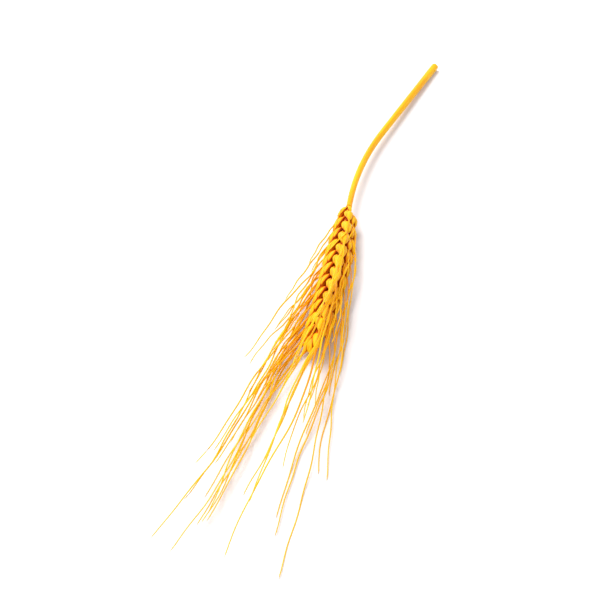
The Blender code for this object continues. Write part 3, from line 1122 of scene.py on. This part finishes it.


# %% Group 2: dye that has taken unevenly, with painted shade from the crease attribute
def build_dye_and_shade():
    tree, given, result = new_group(
        "uneven dye", ("Crease Start", "Crease End", "Mottle Scale", "Mottle", "Tone"), ("Dye and Shade",)
    )
    # Painted shade: the crease share sets the starting amount, so creases take the darker ramp
    # colours.
    crease_shade = {0: attribute(tree, "crease_shade"), 1: given["Crease Start"], 2: given["Crease End"]}
    dye_and_shade = add_node(tree, "MapRange", crease_shade).outputs[0]
    place = add_node(tree, "TexCoord").outputs["Object"]
    mottle = {"Vector": place, "Scale": given["Mottle Scale"], "Detail": 3}
    mottle = add_node(tree, "TexNoise", mottle).outputs["Fac"]
    for value, strength in ((mottle, "Mottle"), (attribute(tree, "tone"), "Tone")):
        about_zero = calc(tree, value, 0.5, "SUBTRACT")
        dye_and_shade = calc(tree, dye_and_shade, calc(tree, about_zero, given[strength], "MULTIPLY"))
    feed(tree, result, {"Dye and Shade": add_node(tree, "Clamp", {0: dye_and_shade}).outputs[0]})
    return tree


uneven_dye_and_shade = build_dye_and_shade()
print("group", uneven_dye_and_shade.name, "has", len(uneven_dye_and_shade.nodes), "nodes")

# %% [markdown]
# ## Dyed plant materials
#
# Lemon, gold and orange are the range of this dye. A red-brown, with much of the orange on the
# husks, inner husks and rachis, is painted shade in their creases. Each material runs the amount
# of dye and painted shade through its own colour ramp, darkens it a little between the fibres,
# and uses the same fibres for its roughness and its bump. Dry husks are satin, so the roughness
# stays near the middle. The straw is waxier, so it gets a thin coat. A recipe's numbers for dye
# and painted shade, and for fibres, are the inputs of the two groups, in the same order.

# %% Write one recipe that each dyed material feeds with its own values
GLINT = (1.0, 0.8, 0.35)


def add_ramp(tree, source, stops):
    ramp = add_node(tree, "ValToRGB", {0: source})
    while len(ramp.color_ramp.elements) < len(stops):
        ramp.color_ramp.elements.new(0.5)
    for element, (place, colour) in zip(ramp.color_ramp.elements, stops):
        element.position = place
        element.color = (*colour, 1)
    return ramp.outputs["Color"]


def add_group(tree, group, values):
    """A node that runs a group on plain values, given in the order of the group's inputs."""
    node = tree.nodes.new("ShaderNodeGroup")
    node.node_tree = group
    for socket, value in zip(node.inputs, values):
        socket.default_value = value
    return node.outputs


def feed_shader(material, links):
    feed(material.node_tree, material.node_tree.nodes["Principled BSDF"], links)


def dyed_material(name, ramp, dye_and_shade, fibres, streak, rough, bump, shine=0.25, leads=None):
    """A dry plant surface. leads names an attribute that counts more than the dye and painted
    shade.
    """
    material = bpy.data.materials.new(name)
    material.use_nodes = True
    tree = material.node_tree
    # The amount carries painted shade: it rises with the crease attribute, so creases get the
    # darker ramp colours.
    amount = add_group(tree, uneven_dye_and_shade, dye_and_shade)["Dye and Shade"]
    if leads:
        amount = calc(tree, attribute(tree, leads), calc(tree, amount, 0.5, "MULTIPLY"))
    grain = add_group(tree, lengthwise_fibres, fibres)
    shade = add_ramp(tree, grain["Streaks"], [(0, streak), (1, (1, 1, 1))])
    layers = {"Factor": 1, 6: add_ramp(tree, amount, ramp), 7: shade}
    mixed = add_node(tree, "Mix", layers, data_type="RGBA", blend_type="MULTIPLY")
    dull = add_node(tree, "MapRange", {0: grain["Streaks"], 3: rough[0], 4: rough[1]})
    relief = {"Height": grain["Height"], "Distance": bump, "Strength": 1}
    feed_shader(material, {
        "Base Color": mixed.outputs[2],
        "Roughness": dull.outputs[0],
        "Normal": add_node(tree, "Bump", relief).outputs["Normal"],
        "Specular IOR Level": shine,
        "Specular Tint": (*GLINT, 1),
    })
    return material


def wear(finish, *pieces):
    for piece in pieces:
        piece.data.materials.append(finish)
        print(piece.name, "wears", finish.name)


# %% Mix the dyes for husks, inner husks, rachis and awns
# Orange and red-brown at the crease end of the husk, inner husk and rachis ramps are painted
# shade. The straw's orange is its uneven dye.
LEMON = (0.97, 0.58, 0.004)
GOLD = (0.93, 0.42, 0.002)
ORANGE = (0.84, 0.2, 0.001)
SHADE_RED_BROWN = (0.44, 0.05, 0.001)
PALE = (0.96, 0.56, 0.02)
AWN_GOLD = (0.88, 0.31, 0.001)

# For husks, inner husks and rachis, the first two dye numbers say where the painted crease shade
# begins and ends.
wear(dyed_material(
    "dyed_husk_painted_shade", ramp=[(0, LEMON), (0.3, GOLD), (0.6, ORANGE), (1, SHADE_RED_BROWN)],
    dye_and_shade=(0.12, 0.46, 260, 1.1, 0.34), fibres=(7, 2.2, 2.4),
    streak=(0.88, 0.68, 0.45), rough=(0.36, 0.6), bump=0.12 * MM, shine=0.3,
), lemmas, middle_lemmas, glumes)
wear(dyed_material(
    "dyed_inner_husk_painted_shade", ramp=[(0, PALE), (0.35, GOLD), (1, ORANGE)],
    dye_and_shade=(0.2, 0.95, 300, 0.4, 0.2), fibres=(5, 1.6, 2),
    streak=(0.94, 0.82, 0.7), rough=(0.45, 0.65), bump=0.05 * MM,
), paleas)
wear(dyed_material(
    "dyed_rachis_painted_shade", ramp=[(0, GOLD), (0.4, ORANGE), (1, SHADE_RED_BROWN)],
    dye_and_shade=(0.1, 0.7, 200, 0.5, 0.1), fibres=(6, 14, 2.5),
    streak=(0.85, 0.7, 0.55), rough=(0.5, 0.7), bump=0.08 * MM,
), rachis)
wear(dyed_material(
    "dyed_awn", ramp=[(0, AWN_GOLD), (0.25, GOLD), (0.65, LEMON), (1, PALE)],
    dye_and_shade=(-0.6, 1, 90, 0.9, 0.9), fibres=(2, 14, 2),
    streak=(0.92, 0.78, 0.55), rough=(0.36, 0.55), bump=0.03 * MM, leads="along",
), awn_bristles)
wear(dyed_material(
    "dyed_hair", ramp=[(0, LEMON), (0.4, PALE), (1, PALE)],
    dye_and_shade=(0, 1, 120, 0.5, 0.6), fibres=(1, 4, 2),
    streak=(0.95, 0.85, 0.7), rough=(0.5, 0.6), bump=0.01 * MM, leads="along",
), awn_barbs, husk_hairs)

# %% [markdown]
# ## Straw
#
# The straw is the smoothest and shiniest surface of the stalk: a bright waxy yellow, with a
# deeper orange in its grooves. At the cut its wall shows as a paler ring round soft pith,
# which the dye never reached. The photograph doesn't show the cut, so it is kept plain.

# %% Finish the straw and its cut
STRAW_COAT = {"Coat Weight": 0.12, "Coat Roughness": 0.3}
PITH = (0.95, 0.78, 0.42)
CUT_WALL = (0.93, 0.66, 0.25)
CUT_ANGLE = radians(55)

straw_finish = dyed_material(
    "dyed_straw", ramp=[(0, LEMON), (0.45, GOLD), (0.9, ORANGE)],
    dye_and_shade=(-0.2, 1, 45, 1.2, 0), fibres=(9, 2.5, 2.2),
    streak=(0.86, 0.66, 0.4), rough=(0.3, 0.45), bump=0.05 * MM, shine=0.3,
)
feed_shader(straw_finish, STRAW_COAT)
cut_finish = dyed_material(
    "cut_straw", ramp=[(0, PITH), (0.6, CUT_WALL), (1, GOLD)],
    dye_and_shade=(0, 1, 900, 1.2, 0), fibres=(12, 5, 2),
    streak=(0.85, 0.75, 0.6), rough=(0.7, 0.85), bump=0.1 * MM,
)
wear(straw_finish, stem_straw)
wear(cut_finish, stem_straw)
straw_mesh = stem_straw.data
along_stem = straw_mesh.attributes["along"].data
for face in straw_mesh.polygons:
    if max(along_stem[corner].value for corner in face.vertices) <= 0:
        face.material_index = 1
straw_mesh.set_sharp_from_angle(angle=CUT_ANGLE)
print("straw and cut finished")

# %% [markdown]
# ## Floor and light
#
# The photograph has bright soft light from the upper left, which burns the ground out to
# white and leaves only a broad, faint shadow. A very large lamp gives such a shadow, and a
# white sky all round fills it in. The lamp stands behind and to the left as the camera sees
# it. A weak second lamp in front keeps the shaded side from going flat. A camera that looks
# along the floor sees the sky as well, so to the camera it is as white as the ground.

# %% Lay the floor
FLOOR_SIZE = 3.0
FLOOR_COLOUR = (0.82, 0.815, 0.83)
FLOOR_ROUGHNESS = 0.8

floor_mesh = bpy.data.meshes.new("floor")
half = FLOOR_SIZE / 2
floor_corners = [(-half, -half, 0), (half, -half, 0), (half, half, 0), (-half, half, 0)]
floor_mesh.from_pydata(floor_corners, [], [(0, 1, 2, 3)])
floor = place_in_scene("floor", floor_mesh)

floor_finish = bpy.data.materials.new("white_ground")
floor_finish.use_nodes = True
feed_shader(floor_finish, {"Base Color": (*FLOOR_COLOUR, 1), "Roughness": FLOOR_ROUGHNESS})
floor_mesh.materials.append(floor_finish)
print("floor", FLOOR_SIZE, "m wide")

# %% Light it from the upper left and behind
Lamp = namedtuple("Lamp", "name azimuth elevation power colour")
LAMPS = (
    Lamp("key_lamp", radians(148), radians(52), 84, (1, 0.98, 0.95)),
    Lamp("fill_lamp", radians(-15), radians(40), 10, (0.97, 0.97, 1)),
)
LAMP_DISTANCE = 2.5
LAMP_SIZE = 1.8
SKY_COLOUR = (0.97, 0.955, 1)
SKY_STRENGTH = 0.66
SKY_SEEN = 1.1

for lamp in LAMPS:
    light = bpy.data.lights.new(lamp.name, "AREA")
    light.size, light.energy, light.color = LAMP_SIZE, lamp.power, lamp.colour
    lamp_body = place_in_scene(lamp.name, light)
    lamp_body.location = direction_from(lamp.azimuth, lamp.elevation) * LAMP_DISTANCE
    turn_towards(lamp_body, Vector())
    print(lamp.name, "at", [round(value, 2) for value in lamp_body.location])

world = bpy.data.worlds.new("white_sky")
world.use_nodes = True
sky_tree = world.node_tree
seen = add_node(sky_tree, "LightPath").outputs["Is Camera Ray"]
strength = add_node(sky_tree, "MapRange", {0: seen, 3: SKY_STRENGTH, 4: SKY_SEEN}).outputs[0]
sky = {"Color": (*SKY_COLOUR, 1), "Strength": strength}
feed(sky_tree, sky_tree.nodes["Background"], sky)
scene.world = world

# %% [markdown]
#

# %% Finish
import json
